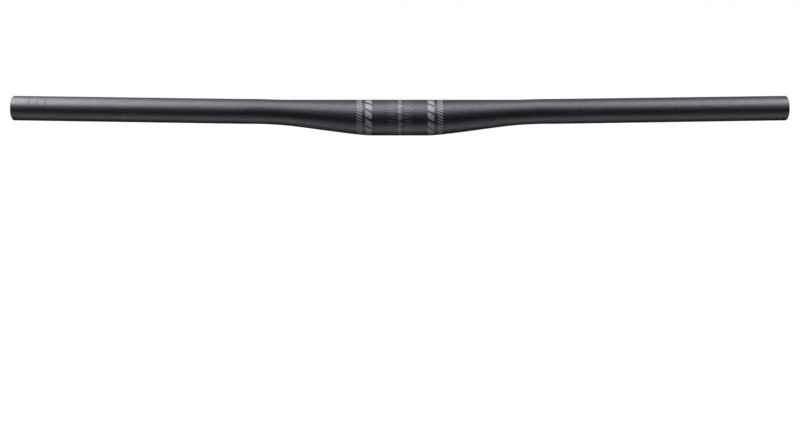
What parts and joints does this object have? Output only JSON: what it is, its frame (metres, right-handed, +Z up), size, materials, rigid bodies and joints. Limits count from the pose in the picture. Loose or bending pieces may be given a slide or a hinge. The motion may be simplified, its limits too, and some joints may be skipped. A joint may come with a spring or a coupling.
{
  "type": "flat handlebar",
  "caption": "Flat bicycle handlebar: a black butted aluminium tube with a thick clamp, level-topped tapers and straight, slightly swept-back ends for grips.",
  "frame": {"origin": "middle of the stem clamp, on its axis", "axes": "+X along the clamp to the rider's right, +Y back to the rider, +Z up"},
  "size_m": [0.6998, 0.0601, 0.0325],
  "materials": {
    "black_anodised": "bead-blasted and black anodised, satin"
  },
  "bodies": {
    "root": {"handlebar": "black_anodised"}
  },
  "joints": []
}
